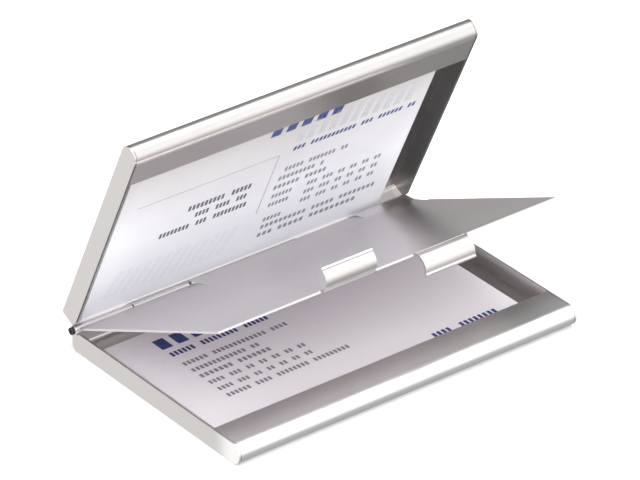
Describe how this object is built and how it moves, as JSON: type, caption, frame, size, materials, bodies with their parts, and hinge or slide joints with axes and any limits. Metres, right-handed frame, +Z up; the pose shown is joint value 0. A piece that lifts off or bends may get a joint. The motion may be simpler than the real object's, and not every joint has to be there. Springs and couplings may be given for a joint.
{
  "type": "business card case",
  "caption": "Flat hinged metal card case: shallow folded trays share a pin with a divider leaf that has snap clips, and business cards lie inside.",
  "frame": {"origin": "middle of the lower tray's flat bottom face", "axes": "+X along the hinge, +Y from the rolled front edge to the hinge, +Z up from the face it rests on"},
  "size_m": [0.0954, 0.0667, 0.0624],
  "materials": {
    "aluminium": "satin anodised sheet",
    "pin_steel": "plain turned steel",
    "card": null
  },
  "bodies": {
    "base": {"base_tray": "aluminium", "hinge_pin": "pin_steel"},
    "divider": {"divider_leaf": "aluminium"},
    "lid": {"lid_tray": "aluminium"},
    "lower_card": {"base_card": "card"},
    "upper_cards": {"lid_card_1": "card", "lid_card_2": "card", "lid_card_3": "card", "lid_card_4": "card", "lid_card_5": "card", "lid_card_6": "card", "lid_card_7": "card"}
  },
  "joints": [
    {"name": "divider_hinge", "type": "hinge", "parent": "base", "child": "divider", "pos_m": [0, 0.0305, 0.00535], "axis": [-1, 0, 0], "range_deg": [-24.5, 30.5]},
    {"name": "lid_hinge", "type": "hinge", "parent": "divider", "child": "lid", "pos_m": [0, 0.0305, 0.00535], "axis": [-1, 0, 0], "range_deg": [-39, 16]},
    {"name": "lower_card_slide", "type": "slide", "parent": "base", "child": "lower_card", "axis": [1, 0, 0], "range_m": [-0.0038, 0.0038]},
    {"name": "upper_cards_slide", "type": "slide", "parent": "lid", "child": "upper_cards", "axis": [1, 0, 0], "range_m": [-0.0024, 0.0061]}
  ]
}
